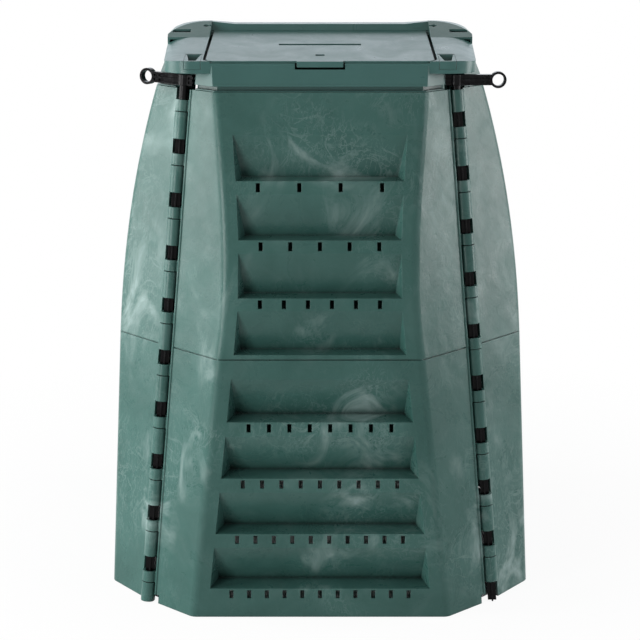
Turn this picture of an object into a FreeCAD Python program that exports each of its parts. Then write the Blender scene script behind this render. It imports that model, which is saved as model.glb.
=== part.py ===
import FreeCAD, Part
import math
import os

# Compost bin with lid: eight wall panels in two storeys, held at the corners by four pull-out rods,
# under a ridged lid with two hinged flaps. Millimetres, +Z up, +Y to the back, and the origin on the
# ground at the middle of the footprint. Front and back walls are the same moulding, as are left and
# right, so each pair is one shape turned by half a turn about Z.

V = FreeCAD.Vector
UP = V(0, 0, 1)

# ---------------------------------------------------------------- driving dimensions: the body
BASE_HALF = 400.0          # middle to the flat of a wall at the ground
SEAM_HALF = 378.5          # ... at the seam between the storeys
RIM_HALF = 297.0           # ... at the rim
LOWER_HEIGHT = 485.0
UPPER_HEIGHT = 465.0
WALL = 4.0                 # thickness of every moulded wall
FLAT_INSET_BASE = 165.0    # half a wall's flat is this much less than BASE_HALF at the ground
# up the upper storey it is less than RIM_HALF, as (share of the storey's height, how much less)
FLAT_INSETS = ((0.0, 115.0), (0.16, 124.0), (0.5, 126.7), (0.78, 119.0), (1.0, 111.5))
BEND_RADIUS = 22.0         # outer radius where the flat turns into a wing
FLANGE = 14.0              # stiffening flange inside the seam and the foot
FLANGE_THICK = 4.0
SEAM_RIB = 3.0             # rib on the lower flange that keys the upper storey
SEAM_RIB_HIGH = 2.5
RIB_CLEAR = 0.4
REVEAL_HIGH = 2.4          # shadow groove outside the seam
REVEAL_DEEP = 2.0

# ---------------------------------------------------------------- driving dimensions: louvres
ROWS = 4
ROW_LAND_LOWER = 63.5      # height of a wall that its rows do not share out
ROW_LAND_UPPER = 58.5
LIP_FOOT_LOWER = 55.0      # lowest lip above the wall's lower edge
LIP_FOOT_UPPER = 10.0
ROW_HEIGHT = 79.0          # top of a recess to its lip
DEPTH_LOWER = 42.0         # depth of a recess at its ledge
DEPTH_UPPER = 32.0
LEDGE_SLOPE = 5.0          # degrees, so that rain runs off
SIDE_DRAFT = 18.0          # degrees
ROW_MARGIN = 27.5          # bend line to the side of a recess
SLOTS_LOWER = (11, 10, 9, 8)   # vent slots under each lip, lowest row first
SLOTS_UPPER = (0, 6, 5, 4)
SLOT_WIDE = 7.2
SLOT_HIGH = 15.5
SLOT_DROP = 11.0           # lip to the middle of its slots
SLOT_MARGIN = 39.0         # end of a lip to its last slot

# ---------------------------------------------------------------- driving dimensions: corner rods
ROD_INSET_BASE = 75.5      # wall's outer face to the rod's axis, in X and in Y, at the ground
ROD_INSET_RIM = 54.6       # ... at the rim
ROD_RADIUS = 8.0
ROD_RIB = 3.0              # thickness of the rod's four ribs
ROD_FOOT = 0.0             # rod end above the ground
ROD_HEAD = 21.0            # round head at the top of the rod
JOURNAL_RADIUS = 5.0       # journal on which the handle turns
ROD_CLEAR = 0.6            # rod to knuckle bore
KNUCKLE_RADIUS = 13.3
KNUCKLE_UNITS = 5          # windows in one storey of a corner
KNUCKLE_RUN_UPPER = 12.5   # length by which the units outrun a storey
KNUCKLE_RUN_LOWER = 7.5
SHORT_KNUCKLE = 20.0       # loop of a front or back wall
LONG_KNUCKLE = 47.5        # hook of a side wall
KNUCKLE_GAP = 1.5
FIRST_WINDOW_UPPER = 6.0   # first window's middle below the storey's top edge, left front corner
FIRST_WINDOW_LOWER = 18.0
WING_GAP = 6.2             # knuckle to the edge of a wing
BEAD_RADIUS = 2.4          # rolled edge of the front and back walls
CORNER_NOTCH = 16.0        # drain notch at the foot of the front and back walls

# ---------------------------------------------------------------- driving dimensions: rod handles
HANDLE_DEEP = 12.0
HANDLE_HIGH = 18.8
HANDLE_STUB = 19.0         # rod axis to the inner end
HANDLE_REACH = 75.0        # rod axis to the middle of the ring
RING_OUTER = 14.6
RING_INNER = 10.4
HANDLE_LIFT = 6.5          # handle above the rim
CHANNEL_DEEP = 3.0         # channels in the bar's faces
CHANNEL_HIGH = 4.2
HUB_RADIUS = 10.5
COLLAR_AT = 50.0           # rod axis to the collar across the bar
JOURNAL_SHORT = 3.0        # top of the handle to the end of its bore
LEFT_SWING = 26.0          # degrees by which the left front handle stands back at rest
BACK_SWING = -90.0         # ... and by which both back handles do, seen from the back
JOURNAL_CLEAR = 0.4

# ---------------------------------------------------------------- driving dimensions: the lid
LID_GAP = 9.5              # rim to the lid's skirt
SKIRT_SET_BACK = 2.5       # wall's outer face to the skirt's, at the skirt's lower edge
SKIRT_DRAW = 10.5          # how far the skirt draws in up to its top edge, at the front
SKIRT_SIDE_DRAW = 18.0     # ... and at the sides
SKIRT_FLAT_MORE_LOW = 2.5  # half the skirt's flat is this much more than the wall's, at its lower edge
SKIRT_FLAT_MORE_TOP = 4.5  # ... and at its top edge
PLATE_LIP = 2.0            # skirt's top edge to the front of the plate, which overhangs the corners
PLATE_SIDE_MORE = 2.0      # the plate's sides at the ridge lie this much further out than its front
PLATE_NOSE_LESS = 11.5     # ... and its sides at the front this much less far
PLATE_CORNER = 52.0
PLATE_UNDER = 31.0         # rim to the plate's lower edge
EAVES = 53.0               # rim to the roof at the front edge
RIDGE = 87.5               # rim to the roof, carried on to the middle
SHOULDER_WIDE = 50.0       # width over which the roof curves down to the plate's side
SHOULDER_DROP = 26.0
LID_WALL = 4.0
LOCATOR_DEEP = 12.0        # lip that drops inside the rim
LOCATOR_CLEAR = 5.0
LOCATOR_STEP = 3.0         # wall's face to the ring that stands on the rim
LOCATOR_WIDE = 11.5
LOCATOR_FOOT = 2.4         # height of that ring, below the shadow gap
HANDLE_POCKET_GAP = 9.0    # a handle's inner end to the corner pocket that it turns in
SEAT_GAP = 0.3             # gap between a loose piece and its seat

# ---------------------------------------------------------------- driving dimensions: the flaps
FLAP_MARGIN = 85.5         # plate's half width to the flap's
FLAP_THICK = 3.2
FLAP_SIDE_GAP = 5.5
FLAP_CORNER = 14.0         # radius of a flap's front corners
GUTTER_DEEP = 10.0         # gutters under the gaps at a flap's sides
GUTTER_END = 16.0          # skirt's top edge to their front ends
GUTTER_UNDER_FLAP = 1.0    # how far they reach under the flap
FLAP_SIDE_LEDGE = 16.5     # flap's side to the opening below it
RIDGE_BAR_HALF = 25.0
RIDGE_BAR_UNDER = 65.0     # rim to the bar's lower edges
RIDGE_BAR_TOP = 96.0       # rim to the bar's top
RIDGE_BAR_TOP_HALF = 20.5
CROWN_IN = 76.0            # plate's side at the ridge to where the bar is highest
CROWN_RISE_LONG = 50.0     # length over which it rises to there
CROWN_TOP = 100.5
CROWN_TOP_HALF = 9.0
CROWN_DROP = 34.0          # highest place to where its end meets the side
SADDLE_HALF = 88.0         # ridge to where the roof beside the flaps starts to rise to the crown
FLAP_REAR_GAP = 2.4
FLAP_FRONT_LEDGE = 20.0    # skirt face to the opening
FLAP_RIB_DEEP = 10.0
FLAP_RIB_CLEAR = 3.0
PIN_RADIUS = 3.2
PIN_LENGTH = 15.0
PIN_CLEAR = 0.4
PIN_INSET = 4.0            # pin axis to the flap's rear edge, and below its top
PIN_SLOT = 5.4             # width of the slot that a pin is pressed through
PIN_MOUTH = 5.4            # radius of the round mouth at the slot's end
HAND_RECESS_HALF = 44.0
HAND_RECESS_HIGH = 11.0
HAND_RECESS_DEEP = 24.0
TAB_HALF = 40.5
TAB_DROP = 7.5
TAB_OUT = 4.0
GROOVE_HALF = 75.0         # decorative groove across each flap
GROOVE_WIDE = 12.0
GROOVE_DEEP = 2.2
GROOVE_FROM_FRONT = 134.0
FLAP_SLOT_HALF = 8.0
FLAP_SLOT_WIDE = 11.0
FLAP_SLOT_FROM_FRONT = 47.0

# ---------------------------------------------------------------- driving dimensions: lid catches
CATCH_IN = 62.0            # plate's half width to a catch's middle
CATCH_POCKET_HALF = 15.0
CATCH_POCKET_DEEP = 58.0
CATCH_CLEAR = 0.5          # catch to the sides of its pocket
CATCH_TRAVEL = 4.0
SCOOP_BACK_HALF = 12.5     # finger scoop in a catch: half its width at the back
SCOOP_FRONT_HALF = 7.0     # ... and at the front
SCOOP_DEEP = 52.0          # plate's front to the scoop's back
SCOOP_LIP = 3.0            # plate's front to the scoop's front
SCOOP_TAPER = 4.0          # how far its sides draw in down to its floor
SCOOP_FLOOR = 5.5          # pocket's floor to the scoop's floor
PEG_RADIUS = 2.5
PEG_CLEAR = 0.4
CATCH_LOW = 38.0           # rim to the floor of a catch's pocket
SHOULDER_SLIT = 34.0
SHOULDER_SLIT_WIDE = 14.0
SHOULDER_SLIT_FROM_RIDGE = 56.0
SHOULDER_SLIT_IN = 26.0    # plate's half width to a slit's middle

# ---------------------------------------------------------------- derived values
RIM = LOWER_HEIGHT + UPPER_HEIGHT
FLAT_HALF_BASE = BASE_HALF - FLAT_INSET_BASE
FLAT_WAIST = [(share, RIM_HALF - inset) for share, inset in FLAT_INSETS]
ROD_BASE = BASE_HALF - ROD_INSET_BASE
ROD_RIM = RIM_HALF - ROD_INSET_RIM
WING_END = KNUCKLE_RADIUS + WING_GAP
SKIRT_BOTTOM_HALF = RIM_HALF - SKIRT_SET_BACK
SKIRT_TOP_HALF = SKIRT_BOTTOM_HALF - SKIRT_DRAW
SKIRT_FLAT_BOTTOM = FLAT_WAIST[-1][1] + SKIRT_FLAT_MORE_LOW
SKIRT_FLAT_TOP = FLAT_WAIST[-1][1] + SKIRT_FLAT_MORE_TOP
PLATE_HALF = SKIRT_TOP_HALF + PLATE_LIP
PLATE_SIDE_HALF = PLATE_HALF + PLATE_SIDE_MORE
PLATE_NOSE_HALF = PLATE_HALF - PLATE_NOSE_LESS
SHOULDER_START = PLATE_HALF - SHOULDER_WIDE
HANDLE_POCKET = HANDLE_STUB + HANDLE_POCKET_GAP
FLAP_HALF = PLATE_HALF - FLAP_MARGIN
FLAP_OPENING_HALF = FLAP_HALF - FLAP_SIDE_LEDGE
FLAP_SLOT_FROM_RIDGE = SKIRT_TOP_HALF - FLAP_SLOT_FROM_FRONT
GROOVE_FROM_RIDGE = SKIRT_TOP_HALF - GROOVE_FROM_FRONT
GUTTER_FRONT = SKIRT_TOP_HALF - GUTTER_END
CROWN_X = PLATE_SIDE_HALF - CROWN_IN
CROWN_START = CROWN_X - CROWN_RISE_LONG
CATCH_AT_X = PLATE_HALF - CATCH_IN
SHOULDER_SLIT_X = PLATE_HALF - SHOULDER_SLIT_IN
ROD_LEAN = (ROD_BASE - ROD_RIM) / RIM
ROD_STRETCH = math.sqrt(1 + 2 * ROD_LEAN ** 2)
LEAN_ANGLE = math.degrees(math.atan(ROD_LEAN))
DEEP = max(DEPTH_LOWER, DEPTH_UPPER) + 4 * WALL
OVER = 5.0                 # how far cutting shapes run past what they cut
FAR = 3 * BASE_HALF
ROOF_SLOPE = (RIDGE - EAVES) / SKIRT_TOP_HALF
JOURNAL_TOP = RIM + HANDLE_LIFT + HANDLE_HIGH - JOURNAL_SHORT


def turned(shape):
    """The same shape on the opposite side, half a turn about Z."""
    copy = shape.copy()
    copy.rotate(V(0, 0, 0), UP, 180)
    return copy


def mirrored_x(shape):
    return shape.mirror(V(0, 0, 0), V(1, 0, 0))


def mirrored_y(shape):
    return shape.mirror(V(0, 0, 0), V(0, 1, 0))


def box(low, high):
    return Part.makeBox(high[0] - low[0], high[1] - low[1], high[2] - low[2], V(*low))


def slab(bottom, top):
    """Everything between two heights."""
    return box((-FAR, -FAR, bottom), (FAR, FAR, top))


def solid_from_faces(loops):
    """A solid bounded by flat faces, each given by its corners."""
    faces = [Part.Face(Part.makePolygon(list(loop) + [loop[0]])) for loop in loops]
    return Part.makeSolid(Part.makeShell(faces))


# ---------------------------------------------------------------- the body's curves
def half_width(z):
    """Middle to the flat of a wall at height z: straight to the seam, then one tangent arc."""
    if z <= LOWER_HEIGHT:
        return BASE_HALF + (SEAM_HALF - BASE_HALF) * z / LOWER_HEIGHT
    lean = math.atan((BASE_HALF - SEAM_HALF) / LOWER_HEIGHT)
    rise, run = UPPER_HEIGHT, SEAM_HALF - RIM_HALF
    chord = math.hypot(rise, run)
    turn = math.atan2(run, rise) - lean
    radius = chord / (2 * math.sin(turn))
    centre_z = LOWER_HEIGHT - radius * math.sin(lean)
    centre_out = SEAM_HALF - radius * math.cos(lean)
    return centre_out + math.sqrt(radius ** 2 - (z - centre_z) ** 2)


def flat_half(z):
    """Half the width of a wall's flat at height z."""
    if z <= LOWER_HEIGHT:
        return FLAT_HALF_BASE + (FLAT_WAIST[0][1] - FLAT_HALF_BASE) * z / LOWER_HEIGHT
    share = (z - LOWER_HEIGHT) / UPPER_HEIGHT
    for (s0, w0), (s1, w1) in zip(FLAT_WAIST, FLAT_WAIST[1:]):
        if share <= s1:
            return w0 + (w1 - w0) * (share - s0) / (s1 - s0)
    return FLAT_WAIST[-1][1]


def rod_at(z):
    """X and Y of a rod's axis at height z."""
    return ROD_BASE - ROD_LEAN * z


def wall_line(z, sideways_end=0.0):
    """The front wall's outer outline at height z, from the left wing's edge to the right wing's."""
    rod = rod_at(z)
    left_rod = V(-rod, -rod, z)
    left_bend = V(-flat_half(z), -half_width(z), z)
    along = (left_bend - left_rod).normalize()
    left_end = left_rod + along * (WING_END - sideways_end)
    return [left_end, left_bend, V(-left_bend.x, left_bend.y, z), V(-left_end.x, left_end.y, z)]


def offset_line(points, distance):
    """The outline moved inwards by a distance, with its bends kept sharp."""
    moved = []
    for start, end in zip(points, points[1:]):
        along = (end - start).normalize()
        inwards = UP.cross(along)
        moved.append((start + inwards * distance, end + inwards * distance, along))
    result = [moved[0][0]]
    for (_, end, first), (start, _, second) in zip(moved, moved[1:]):
        gap = start - end
        across = first.x * second.y - first.y * second.x
        step = (gap.x * second.y - gap.y * second.x) / across
        result.append(end + first * step)
    result.append(moved[-1][1])
    return result


def rounded(points, radius):
    """Edges along an outline whose inner corners are rounded."""
    edges = []
    start = points[0]
    for before, corner, after in zip(points, points[1:], points[2:]):
        back = (before - corner).normalize()
        ahead = (after - corner).normalize()
        half = back.getAngle(ahead) / 2
        trim = radius / math.tan(half)
        to_centre = (back + ahead).normalize()
        first = corner + back * trim
        last = corner + ahead * trim
        middle = corner + to_centre * (radius / math.sin(half) - radius)
        edges.append(Part.makeLine(start, first))
        edges.append(Part.Arc(first, middle, last).toShape())
        start = last
    edges.append(Part.makeLine(start, points[-1]))
    return edges


def band_wire(z, outer, inner, sideways):
    """Closed section of the front wall at height z, between two depths below its outer face."""
    line = wall_line(z, sideways)
    outside = offset_line(line, outer)
    inside = offset_line(line, inner)
    edges = rounded(outside, BEND_RADIUS - outer)
    edges.append(Part.makeLine(outside[-1], inside[-1]))
    for start, end in zip(inside[::-1], inside[-2::-1]):
        edges.append(Part.makeLine(start, end))
    edges.append(Part.makeLine(inside[0], outside[0]))
    return Part.Wire(edges)


def storey_heights(upper):
    """Heights of the sections that a storey's walls are lofted through."""
    if upper:
        return [LOWER_HEIGHT + share * UPPER_HEIGHT for share, _ in FLAT_WAIST]
    return [0.0, LOWER_HEIGHT]


def band(upper, outer, inner, sideways=0.0):
    """Solid band of a front wall between two depths below its outer face."""
    wires = [band_wire(z, outer, inner, sideways) for z in storey_heights(upper)]
    return Part.makeLoft(wires, True, not upper)


# ---------------------------------------------------------------- louvres
def row_lips(upper):
    """Heights of a storey's lips, lowest first."""
    height = UPPER_HEIGHT if upper else LOWER_HEIGHT
    foot = LOWER_HEIGHT + LIP_FOOT_UPPER if upper else LIP_FOOT_LOWER
    pitch = (height - (ROW_LAND_UPPER if upper else ROW_LAND_LOWER)) / ROWS
    return [foot + row * pitch for row in range(ROWS)]


def row_half(z):
    """Half the width of a recess at height z, at the wall's face."""
    return flat_half(z) - ROW_MARGIN


def shifted_corner(top, corner, lip, skin):
    """The recess's three profile points, moved outwards from the recess by a skin thickness."""
    back = (top - corner).normalize()
    ledge = (lip - corner).normalize()
    back_out = V(0, back.z, -back.y)
    ledge_out = V(0, -ledge.z, ledge.y)
    across = back.y * ledge.z - back.z * ledge.y
    gap = ledge_out * skin - back_out * skin
    step = (gap.y * ledge.z - gap.z * ledge.y) / across
    moved = corner + back_out * skin + back * step
    return top + back_out * skin, moved, lip + ledge_out * skin


def wedge(lip_z, depth, skin):
    """A recess's space, or with a skin the moulding behind it: a drafted wedge."""
    top_z = lip_z + ROW_HEIGHT
    corner_z = lip_z + depth * math.tan(math.radians(LEDGE_SLOPE))
    top = V(0, -half_width(top_z), top_z)
    corner = V(0, -half_width(corner_z) + depth, corner_z)
    lip = V(0, -half_width(lip_z), lip_z)
    draft = math.tan(math.radians(SIDE_DRAFT))
    halves = (row_half(top_z), row_half(corner_z) - depth * draft, row_half(lip_z))
    normal = (V(halves[0], top.y, top.z) - V(halves[1], corner.y, corner.z)).cross(
        V(halves[2], lip.y, lip.z) - V(halves[1], corner.y, corner.z))
    side_skin = skin / abs(normal.normalize().x)

    def side(point):
        rise = normal.y * (point.y - corner.y) + normal.z * (point.z - corner.z)
        return halves[1] + side_skin - rise / normal.x

    top_s, corner_s, lip_s = shifted_corner(top, corner, lip, skin)
    outer_top = top_s + (top_s - corner_s).normalize() * 2 * OVER
    outer_lip = lip_s + (lip_s - corner_s).normalize() * 2 * OVER
    outside = V(0, outer_lip.y - 2 * OVER, (outer_top.z + outer_lip.z) / 2)
    profile = [outer_top, corner_s, outer_lip, outside]
    left = [V(-side(p), p.y, p.z) for p in profile]
    right = [V(side(p), p.y, p.z) for p in profile]
    loops = [left, right[::-1]]
    for index in range(len(profile)):
        following = (index + 1) % len(profile)
        loops.append([left[index], right[index], right[following], left[following]])
    return solid_from_faces(loops)


def vent_slots(lip_z, count):
    """The slots under one lip, evenly spread over its width."""
    middle_z = lip_z - SLOT_DROP
    span = row_half(lip_z) - SLOT_MARGIN
    face = half_width(middle_z)
    slots = []
    for index in range(count):
        x = -span + 2 * span * index / (count - 1)
        slots.append(box(
            (x - SLOT_WIDE / 2, -face - 2 * OVER, middle_z - SLOT_HIGH / 2),
            (x + SLOT_WIDE / 2, -face + 2 * OVER, middle_z + SLOT_HIGH / 2)))
    return slots


# ---------------------------------------------------------------- corner knuckles
def rod_point(sx, z):
    """A point on the front rod's axis on side sx."""
    return V(sx * rod_at(z), -rod_at(z), z)


def rod_axis(sx):
    return V(-sx * ROD_LEAN, ROD_LEAN, 1).normalize()


def rod_tube(sx, bottom, top, radius):
    """A cylinder about the front rod's axis on side sx, between two heights of the axis."""
    return Part.makeCylinder(radius, (top - bottom) * ROD_STRETCH, rod_point(sx, bottom), rod_axis(sx))


def knuckle_spans(upper, sx):
    """(short knuckles, long knuckles) of a front corner in one storey, as (bottom, top) heights."""
    height = UPPER_HEIGHT if upper else LOWER_HEIGHT
    top_edge = RIM if upper else LOWER_HEIGHT
    pitch = (height + (KNUCKLE_RUN_UPPER if upper else KNUCKLE_RUN_LOWER)) / KNUCKLE_UNITS
    window = pitch - SHORT_KNUCKLE - KNUCKLE_GAP - LONG_KNUCKLE
    first = top_edge - (FIRST_WINDOW_UPPER if upper else FIRST_WINDOW_LOWER)
    if sx > 0:
        first -= pitch / 2
    shorts, longs = [], []
    for unit in range(-1, KNUCKLE_UNITS):
        under = first - unit * pitch - window / 2
        shorts.append((under - SHORT_KNUCKLE, under))
        hook_top = under - SHORT_KNUCKLE - KNUCKLE_GAP
        longs.append((hook_top - LONG_KNUCKLE, hook_top))
    ceiling = RIM - KNUCKLE_GAP if upper else LOWER_HEIGHT
    floor = LOWER_HEIGHT if upper else 0.0

    def kept(spans):
        inside = [s for s in spans if floor <= (s[0] + s[1]) / 2 < ceiling]
        return [(max(low, 0.0), min(high, RIM - KNUCKLE_GAP)) for low, high in inside]

    return kept(shorts), kept(longs)


def web(sx, bottom, top, to_side):
    """The plate that ties a knuckle to its wing: the side wall's if to_side, else the front's."""
    middle = (bottom + top) / 2
    axis = rod_axis(sx)
    bend = V(sx * flat_half(middle), -half_width(middle), middle)
    if to_side:
        bend = V(sx * half_width(middle), -flat_half(middle), middle)
    root = rod_point(sx, middle)
    along = bend - root
    along = (along - axis * along.dot(axis)).normalize()
    outwards = V(sx, -1, 0)
    outwards = (outwards - axis * outwards.dot(axis) - along * outwards.dot(along)).normalize()
    inner = (KNUCKLE_RADIUS + ROD_RADIUS) / 2
    half_length = (top - bottom) * ROD_STRETCH / 2
    corner = root + along * inner - outwards * WALL - axis * half_length
    plate = Part.makePolygon([
        corner, corner + along * (WING_END + WALL - inner),
        corner + along * (WING_END + WALL - inner) + outwards * WALL,
        corner + outwards * WALL, corner])
    return Part.Face(plate).extrude(axis * 2 * half_length)


def storey_slab(upper):
    """Everything at the heights of one storey."""
    return slab(LOWER_HEIGHT, RIM) if upper else slab(0.0, LOWER_HEIGHT)


def front_knuckles(upper, sx):
    """The front wall's loops at one corner."""
    pieces = []
    for bottom, top in knuckle_spans(upper, sx)[0]:
        pieces.append(rod_tube(sx, bottom, top, KNUCKLE_RADIUS))
        pieces.append(web(sx, bottom, top, False).common(storey_slab(upper)))
    return pieces


def side_knuckles(upper, sx):
    """The side wall's hooks at a front corner: each is tied to its wing over its lower half."""
    pieces = []
    for bottom, top in knuckle_spans(upper, sx)[1]:
        pieces.append(rod_tube(sx, bottom, top, KNUCKLE_RADIUS))
        pieces.append(web(sx, bottom, (bottom + top) / 2, True).common(storey_slab(upper)))
    return pieces


def rod_bore(sx):
    return rod_tube(sx, -4 * OVER, RIM + 4 * OVER, ROD_RADIUS + ROD_CLEAR)


def edge_bead(upper, sx):
    """The rolled edge of a front wall's wing."""
    wires = []
    for z in storey_heights(upper):
        end = wall_line(z)[0]
        centre = V(-sx * end.x, end.y, z)
        wires.append(Part.Wire(Part.Circle(centre, UP, BEAD_RADIUS).toShape()))
    return Part.makeLoft(wires, True, not upper)


# ---------------------------------------------------------------- wall panels
def seam_rib(clearance):
    """The rib along the seam's flange, or with a clearance the groove for it."""
    reach = flat_half(LOWER_HEIGHT) - BEND_RADIUS + clearance
    middle = -half_width(LOWER_HEIGHT) + WALL + (FLANGE - WALL) / 2
    half = SEAM_RIB / 2 + clearance
    return box((-reach, middle - half, LOWER_HEIGHT - OVER),
               (reach, middle + half, LOWER_HEIGHT + SEAM_RIB_HIGH + clearance))


def plain_panel(upper):
    """A wall with its louvres and flanges, in the front wall's place, without its knuckles."""
    bottom = LOWER_HEIGHT if upper else 0.0
    depth = DEPTH_UPPER if upper else DEPTH_LOWER
    top = RIM if upper else LOWER_HEIGHT
    counts = SLOTS_UPPER if upper else SLOTS_LOWER
    lips = row_lips(upper)
    block = band(upper, 0.0, DEEP)
    hollow_top = top + OVER if upper else top - FLANGE_THICK
    hollow = band(upper, WALL, DEEP + OVER, OVER).common(slab(bottom + FLANGE_THICK, hollow_top))
    hollow = hollow.cut(Part.makeCompound([wedge(z, depth, WALL) for z in lips]))
    inside_flange = band(upper, FLANGE, DEEP + OVER, OVER)
    ends = [slab(bottom - OVER, bottom + FLANGE_THICK)]
    if not upper:
        ends.append(slab(top - FLANGE_THICK, top + OVER))
    trims = [inside_flange.common(end) for end in ends]
    cuts = [hollow] + trims + [wedge(z, depth, 0.0) for z in lips]
    for lip_z, count in zip(lips, counts):
        cuts += vent_slots(lip_z, count)
    if upper:
        cuts.append(band(upper, -OVER, REVEAL_DEEP, OVER).common(slab(bottom, bottom + REVEAL_HIGH)))
    panel = block
    for cut in cuts:
        panel = panel.cut(cut)
    return panel


def front_panel(upper):
    """A front wall: louvred panel, rolled edges and the loops for both corner rods."""
    panel = plain_panel(upper)
    add = []
    for sx in (-1, 1):
        add.append(edge_bead(upper, sx))
        add += front_knuckles(upper, sx)
    panel = panel.fuse(add).cut(slab(-FAR, 0.0))
    panel = panel.cut(Part.makeCompound([rod_bore(-1), rod_bore(1)]))
    if upper:
        return panel.cut(seam_rib(RIB_CLEAR))
    for sx in (-1, 1):
        foot = rod_point(sx, 0.0)
        notch = Part.makeCylinder(WING_END + CORNER_NOTCH / 2, CORNER_NOTCH, foot, UP)
        keep = Part.makeCylinder(KNUCKLE_RADIUS + KNUCKLE_GAP, CORNER_NOTCH, foot, UP)
        panel = panel.cut(notch.cut(keep))
    return panel.fuse(seam_rib(0.0))


def side_panel(upper):
    """The left wall: louvred panel and the hooks for the rods at its front and back corners."""
    panel = plain_panel(upper)
    panel.rotate(V(0, 0, 0), UP, -90)
    front = side_knuckles(upper, -1)
    back = [turned(shape) for shape in side_knuckles(upper, 1)]
    panel = panel.fuse(front + back).cut(slab(-FAR, 0.0))
    panel = panel.cut(Part.makeCompound([rod_bore(-1), turned(rod_bore(1))]))
    rib = seam_rib(RIB_CLEAR if upper else 0.0)
    rib.rotate(V(0, 0, 0), UP, -90)
    return panel.cut(rib) if upper else panel.fuse(rib)


# ---------------------------------------------------------------- corner rods and their handles
def corner_rod(sx):
    """A front corner rod: four ribs below, a round head, and the journal for its handle."""
    head_bottom = RIM - ROD_HEAD
    collar = RIM + HANDLE_LIFT - SEAT_GAP - ROD_RADIUS * math.sqrt(2) * ROD_LEAN
    core = rod_tube(sx, ROD_FOOT - 2 * OVER, head_bottom, ROD_RADIUS)
    root = rod_point(sx, ROD_FOOT - 2 * OVER)
    turn = FreeCAD.Rotation(UP, rod_axis(sx))
    ribs = []
    for long_way, narrow_way in ((ROD_RADIUS, ROD_RIB / 2), (ROD_RIB / 2, ROD_RADIUS)):
        rib = box((-long_way, -narrow_way, 0), (long_way, narrow_way, 2 * RIM))
        rib.Placement = FreeCAD.Placement(root, turn)
        ribs.append(rib)
    rod = core.common(ribs[0].fuse(ribs[1]))
    rod = rod.fuse([rod_tube(sx, head_bottom - ROD_RIB, collar, ROD_RADIUS),
                    rod_tube(sx, collar - ROD_RIB, JOURNAL_TOP, JOURNAL_RADIUS)])
    return rod.cut(slab(-FAR, ROD_FOOT))


def handle_frame(sx, rise, swing):
    """Placement of a handle: X outwards along its bar, Z across it, origin on the rod's axis."""
    placement = FreeCAD.Placement(V(0, 0, 0), FreeCAD.Rotation(V(0, 1, 0), -sx * rise))
    if sx < 0:
        placement = FreeCAD.Placement(V(0, 0, 0), FreeCAD.Rotation(UP, 180)).multiply(
            FreeCAD.Placement(V(0, 0, 0), FreeCAD.Rotation(V(0, 1, 0), -rise)))
    spin = FreeCAD.Placement(V(0, 0, 0), FreeCAD.Rotation(rod_axis(sx), sx * swing))
    seat = FreeCAD.Placement(rod_point(sx, RIM + HANDLE_LIFT), FreeCAD.Rotation())
    return seat.multiply(spin).multiply(placement)


def rod_handle(sx, rise, swing):
    """A rod's handle: a channelled bar with a finger ring, which turns on the rod's journal."""
    half = HANDLE_DEEP / 2
    middle = HANDLE_HIGH / 2
    bar = box((-HANDLE_STUB, -half, 0), (HANDLE_REACH - RING_INNER, half, HANDLE_HIGH))
    ring = Part.makeCylinder(RING_OUTER, HANDLE_DEEP, V(HANDLE_REACH, -half, middle), V(0, 1, 0))
    hub = Part.makeCylinder(HUB_RADIUS, HANDLE_HIGH)
    handle = bar.fuse([ring, hub])
    hole = Part.makeCylinder(RING_INNER, 3 * HANDLE_DEEP, V(HANDLE_REACH, -1.5 * HANDLE_DEEP, middle),
                             V(0, 1, 0))
    cuts = [hole]
    channel_gap = (HANDLE_HIGH - 2 * CHANNEL_HIGH) / 3
    spans = ((-HANDLE_STUB - OVER, -HUB_RADIUS), (HUB_RADIUS, COLLAR_AT),
             (COLLAR_AT + CHANNEL_DEEP, HANDLE_REACH - RING_OUTER))
    for face in (-1, 1):
        for row in range(2):
            low = channel_gap + row * (CHANNEL_HIGH + channel_gap)
            for start, end in spans:
                inner, outer = sorted((face * (half - CHANNEL_DEEP), face * (half + OVER)))
                cuts.append(box((start, inner, low), (end, outer, low + CHANNEL_HIGH)))
    handle = handle.cut(Part.makeCompound(cuts))
    handle.Placement = handle_frame(sx, rise, swing)
    bore = rod_tube(sx, RIM - OVER, JOURNAL_TOP + JOURNAL_CLEAR, JOURNAL_RADIUS + JOURNAL_CLEAR)
    return handle.cut(bore)


# ---------------------------------------------------------------- the lid's main forms
def octagon(half, flat, z, side_less=0.0):
    """A square of the given half width with its corners cut, as a wire at height z.

    Its left and right sides may lie less far out than its front and back.
    """
    quarter = [(-flat, -half), (flat, -half)]
    points = []
    for turn in range(4):
        for x, y in quarter:
            less = math.copysign(side_less, x) if abs(x) > abs(y) else 0.0
            points.append(V(x - less, y, z))
        quarter = [(-y, x) for x, y in quarter]
    return Part.makePolygon(points + points[:1])


def ring_of(half, flat, wide, bottom, top):
    """An upright eight-sided ring, given by its outer size and its width."""
    solids = []
    for inset in (0.0, wide):
        wire = octagon(half - inset, flat - inset * math.tan(math.radians(22.5)), bottom)
        solids.append(Part.Face(wire).extrude(V(0, 0, top - bottom)))
    return solids[0].cut(solids[1])


def lid_skirt(inset, bottom):
    """The eight-sided lower part of the lid, carried up past the roof."""
    wires = []
    high = EAVES - LID_GAP
    for z in (bottom, RIM + RIDGE + 2 * OVER):
        share = (z - RIM - LID_GAP) / high
        half = SKIRT_BOTTOM_HALF + (SKIRT_TOP_HALF - SKIRT_BOTTOM_HALF) * share
        flat = SKIRT_FLAT_BOTTOM + (SKIRT_FLAT_TOP - SKIRT_FLAT_BOTTOM) * share
        side_less = (SKIRT_SIDE_DRAW - SKIRT_DRAW) * share
        wires.append(octagon(half - inset, flat - inset * math.tan(math.radians(22.5)), z, side_less))
    return Part.makeLoft(wires, True, True)


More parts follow.
